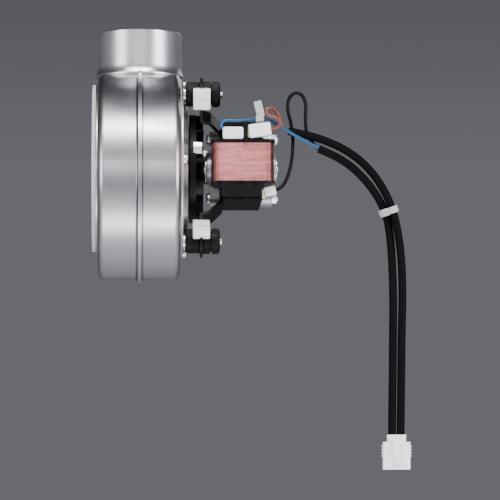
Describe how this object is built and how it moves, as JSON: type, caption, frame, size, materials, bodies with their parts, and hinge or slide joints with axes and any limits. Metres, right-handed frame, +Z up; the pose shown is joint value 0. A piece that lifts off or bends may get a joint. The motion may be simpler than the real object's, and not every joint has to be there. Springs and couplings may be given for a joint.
{
  "type": "combustion fan",
  "caption": "Centrifugal flue-gas fan: sheet-steel volute with axial inlet and round spigot outlet, rubber-mounted shaded-pole motor, cooling wheel and short supply lead.",
  "frame": {"origin": "on the shaft axis, in the outer face of the inlet gasket, at the centre of the inlet bolt circle", "axes": "-X out of the inlet along the shaft, +X towards the motor, +Z up along the outlet spigot, -Y the front of the boiler"},
  "size_m": [0.2223, 0.1664, 0.31],
  "materials": {
    "aluminised_steel": "aluminised sheet with a fine drawn grain",
    "flue_steel": "bright turned spigot",
    "zinc_steel": "bright zinc plate",
    "galvanised_plate": "galvanised sheet, satin",
    "gasket_fibre": "pressed ceramic fibre",
    "wheel_steel": "aluminised sheet, lightly sooted",
    "hub_brass": "turned brass",
    "shaft_steel": "ground shaft",
    "laminations": "black-lacquered lamination stack",
    "cage_aluminium": "die cast",
    "black_nylon": "moulded, satin",
    "black_paint": "black powder coat",
    "copper_wire": "enamelled copper wire",
    "copper_ring": "bare copper",
    "cast_bracket": "die cast, satin",
    "bearing_bronze": "sintered, oiled",
    "felt": "oil-soaked felt",
    "rubber": "moulded",
    "white_nylon": "moulded, glossy",
    "tie_nylon": "natural nylon",
    "tin_plate": "tinned",
    "tab_brass": "stamped",
    "blue_insulation": "extruded",
    "brown_insulation": "extruded",
    "black_insulation": "extruded",
    "black_sleeving": "extruded sleeving",
    "seal_carbon": "moulded lip"
  },
  "bodies": {
    "housing": {"inlet_gasket": "gasket_fibre", "inlet_plate": "galvanised_plate", "inlet_rivet_nuts": "zinc_steel", "inlet_nozzle": "aluminised_steel", "inlet_half_shell": "aluminised_steel", "motor_half_shell": "aluminised_steel", "cutoff_tongue": "aluminised_steel", "outlet_collar": "flue_steel", "cover_gasket": "gasket_fibre", "cover_plate": "galvanised_plate", "cover_screws": "zinc_steel", "shaft_seal": "seal_carbon", "motor_spider": "black_paint", "damper_studs": "zinc_steel", "rubber_dampers": "rubber", "damper_sleeves": "zinc_steel", "damper_washers": "zinc_steel", "damper_nuts": "zinc_steel", "damper_keepers": "white_nylon", "stator_core": "laminations", "coil_leg": "laminations", "stack_rivets": "zinc_steel", "shading_rings": "copper_ring", "bobbin": "black_nylon", "winding": "copper_wire", "coil_tabs": "tab_brass", "front_bearing_bracket": "cast_bracket", "rear_bearing_bracket": "cast_bracket", "front_bearing": "bearing_bronze", "rear_bearing": "bearing_bronze", "felt_wicks": "felt", "bearing_caps": "zinc_steel", "through_bolts": "zinc_steel", "through_bolt_nuts": "zinc_steel", "tab_boots": "white_nylon", "tab_receptacles": "tin_plate", "earth_tab": "tab_brass", "earth_tab_boot": "white_nylon", "earth_screw": "zinc_steel", "blue_wire": "blue_insulation", "brown_wire": "brown_insulation", "earth_wire": "black_insulation", "supply_sleeve": "black_sleeving", "earth_sleeve": "black_sleeving", "lead_tie": "tie_nylon", "wire_tie": "tie_nylon", "lead_plug": "white_nylon", "plug_contacts": "tin_plate"},
    "rotor": {"impeller_front_ring": "wheel_steel", "impeller_blades": "wheel_steel", "impeller_backplate": "wheel_steel", "impeller_hub": "hub_brass", "hub_set_screw": "black_paint", "impeller_rivets": "cage_aluminium", "rotor_shaft": "shaft_steel", "rotor_core": "laminations", "rotor_cage": "cage_aluminium", "cooling_wheel": "black_nylon", "balance_clip": "zinc_steel", "thrust_spacers": "white_nylon"}
  },
  "joints": [
    {"name": "rotor_spin", "type": "hinge", "parent": "housing", "child": "rotor", "pos_m": [0, 0, 0], "axis": [1, 0, 0], "continuous": true}
  ]
}
